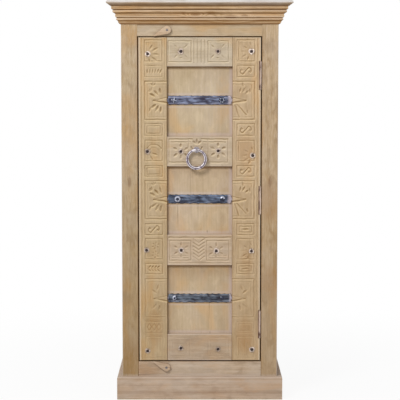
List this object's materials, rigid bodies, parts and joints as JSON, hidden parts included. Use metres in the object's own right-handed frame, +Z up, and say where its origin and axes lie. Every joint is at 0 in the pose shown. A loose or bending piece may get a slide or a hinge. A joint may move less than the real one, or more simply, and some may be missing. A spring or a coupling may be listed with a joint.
{
  "type": "trastero cabinet",
  "caption": "Tall narrow trastero cupboard: an old carved door with iron straps, ring pull and turn buttons in a face-framed case with shelves, plinth and moulded cornice.",
  "frame": {"origin": "on the floor, under the middle of the overall width and depth", "axes": "+X to the right of a person who faces the door, +Y from the door towards the back, +Z up"},
  "size_m": [0.849, 0.5206, 1.85],
  "materials": {
    "case_wood": "limed and waxed pine, worn",
    "door_wood": "old carved wood, limed",
    "button_wood": "waxed",
    "inner_wood": "sawn and unfinished",
    "strap_iron": "forged and worn",
    "stud_metal": "hammered, worn bright",
    "ring_iron": "forged, worn bright",
    "hinge_iron": "dark oxide"
  },
  "bodies": {
    "case": {"back_planks": "inner_wood", "bottom_board": "inner_wood", "cornice_cap": "case_wood", "cornice_front": "case_wood", "cornice_left": "case_wood", "cornice_right": "case_wood", "door_stops": "inner_wood", "frame_rail_bottom": "case_wood", "frame_rail_top": "case_wood", "frame_stile_left": "case_wood", "frame_stile_right": "case_wood", "hinge_bottom_frame_leaf": "hinge_iron", "hinge_bottom_pin": "hinge_iron", "hinge_frame_screws": "hinge_iron", "hinge_middle_frame_leaf": "hinge_iron", "hinge_middle_pin": "hinge_iron", "hinge_top_frame_leaf": "hinge_iron", "hinge_top_pin": "hinge_iron", "plinth_front": "case_wood", "plinth_left": "case_wood", "plinth_right": "case_wood", "rear_rail": "inner_wood", "shelf_cleats": "inner_wood", "shelf_lower": "inner_wood", "shelf_middle": "inner_wood", "shelf_upper": "inner_wood", "side_left": "case_wood", "side_right": "case_wood", "top_board": "inner_wood", "turn_button_screws": "hinge_iron", "turn_button_washers": "hinge_iron"},
    "door": {"door_panel_bottom": "door_wood", "door_panel_middle": "door_wood", "door_panel_top": "door_wood", "door_rail_bottom": "door_wood", "door_rail_lower": "door_wood", "door_rail_top": "door_wood", "door_rail_upper": "door_wood", "door_stile_left": "door_wood", "door_stile_right": "door_wood", "door_studs": "stud_metal", "hinge_bottom_door_leaf": "hinge_iron", "hinge_door_screws": "hinge_iron", "hinge_middle_door_leaf": "hinge_iron", "hinge_top_door_leaf": "hinge_iron", "ring_clench_plate": "ring_iron", "ring_eye": "ring_iron", "ring_rose": "ring_iron", "strap_bottom": "strap_iron", "strap_middle": "strap_iron", "strap_nails": "strap_iron", "strap_top": "strap_iron"},
    "ring": {"ring_pull": "ring_iron"},
    "button_top": {"turn_button_top": "button_wood"},
    "button_bottom": {"turn_button_bottom": "button_wood"}
  },
  "joints": [
    {"name": "door_hinge", "type": "hinge", "parent": "case", "child": "door", "pos_m": [0.2782, -0.19775, 0.934], "axis": [0, 0, 1], "range_deg": [0, 165]},
    {"name": "ring_swing", "type": "hinge", "parent": "door", "child": "ring", "pos_m": [-0.015, -0.21305, 1.16825], "axis": [-1, 0, 0], "range_deg": [-5, 170]},
    {"name": "button_top_turn", "type": "hinge", "parent": "case", "child": "button_top", "pos_m": [-0.1495, -0.20445, 1.717], "axis": [0, -1, 0], "range_deg": [-24, 62]},
    {"name": "button_bottom_turn", "type": "hinge", "parent": "case", "child": "button_bottom", "pos_m": [-0.1555, -0.20445, 0.149], "axis": [0, 1, 0], "range_deg": [-24, 71]}
  ]
}
